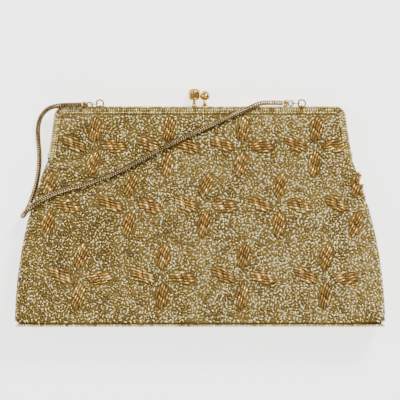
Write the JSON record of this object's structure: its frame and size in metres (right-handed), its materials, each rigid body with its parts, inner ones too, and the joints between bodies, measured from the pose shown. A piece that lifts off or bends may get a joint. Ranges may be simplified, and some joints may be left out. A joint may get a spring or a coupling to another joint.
{
  "type": "evening bag",
  "caption": "Beaded evening bag with a kiss-lock frame that opens on two side hinges, and a snake chain handle that swings on two eyes. It lies on its back.",
  "frame": {"origin": "under the middle of the bag, on the surface that its back panel rests on, without the chain handle", "axes": "+X to the right seen from the front, +Y from the base to the clasp, +Z out of the front panel"},
  "size_m": [0.2392, 0.154, 0.0353],
  "materials": {
    "beadwork": "gold glass beads on gold cloth",
    "gilt_metal": "polished gilt",
    "lining_satin": "satin",
    "card": "matt stiffener"
  },
  "bodies": {
    "root": {"back_panel": "beadwork", "back_flap": "beadwork", "back_interlining": "card", "back_lining": "lining_satin", "inner_pocket": "lining_satin", "front_panel": "beadwork", "front_interlining": "card", "front_lining": "lining_satin", "left_gusset": "beadwork", "right_gusset": "beadwork", "left_gusset_lining": "lining_satin", "right_gusset_lining": "lining_satin", "base_panel": "beadwork", "base_board": "card", "base_lining": "lining_satin", "back_base_piping": "beadwork", "front_base_piping": "beadwork", "back_frame": "gilt_metal", "back_frame_binding": "beadwork", "left_hinge_rivet": "gilt_metal", "right_hinge_rivet": "gilt_metal", "back_clasp_stem": "gilt_metal", "back_clasp_knob": "gilt_metal"},
    "front_half": {"front_frame": "gilt_metal", "front_frame_binding": "beadwork", "front_flap": "beadwork", "front_flap_lining": "lining_satin", "front_clasp_stem": "gilt_metal", "front_clasp_knob": "gilt_metal", "left_handle_eye": "gilt_metal", "right_handle_eye": "gilt_metal"},
    "handle": {"left_end_cap": "gilt_metal", "right_end_cap": "gilt_metal", "handle_chain": "gilt_metal"},
    "left_link": {"left_handle_link": "gilt_metal"},
    "right_link": {"right_handle_link": "gilt_metal"}
  },
  "joints": [
    {"name": "frame_open", "type": "hinge", "parent": "root", "child": "front_half", "pos_m": [0, 0.033, 0.007], "axis": [1, 0, 0], "range_deg": [0, 60], "deforming": ["handle_chain"]},
    {"name": "handle_swing", "type": "hinge", "parent": "front_half", "child": "handle", "pos_m": [0.059, 0.067, 0.0155], "axis": [-0.9999, -0.0084, 0.0084], "range_deg": [0, 60]},
    {"name": "right_link_turn", "type": "hinge", "parent": "front_half", "child": "right_link", "pos_m": [0.059, 0.067, 0.0155], "axis": [-0.9969, 0.0433, 0.065], "range_deg": [0, 30]},
    {"name": "left_link_turn", "type": "hinge", "parent": "front_half", "child": "left_link", "pos_m": [-0.0714, 0.0659, 0.0166], "axis": [-0.9233, -0.2077, 0.3231], "range_deg": [0, 30]}
  ],
  "couplings": [
    {"joint": "right_link_turn", "follows": "handle_swing", "ratio": 0.5},
    {"joint": "left_link_turn", "follows": "handle_swing", "ratio": 0.5}
  ]
}
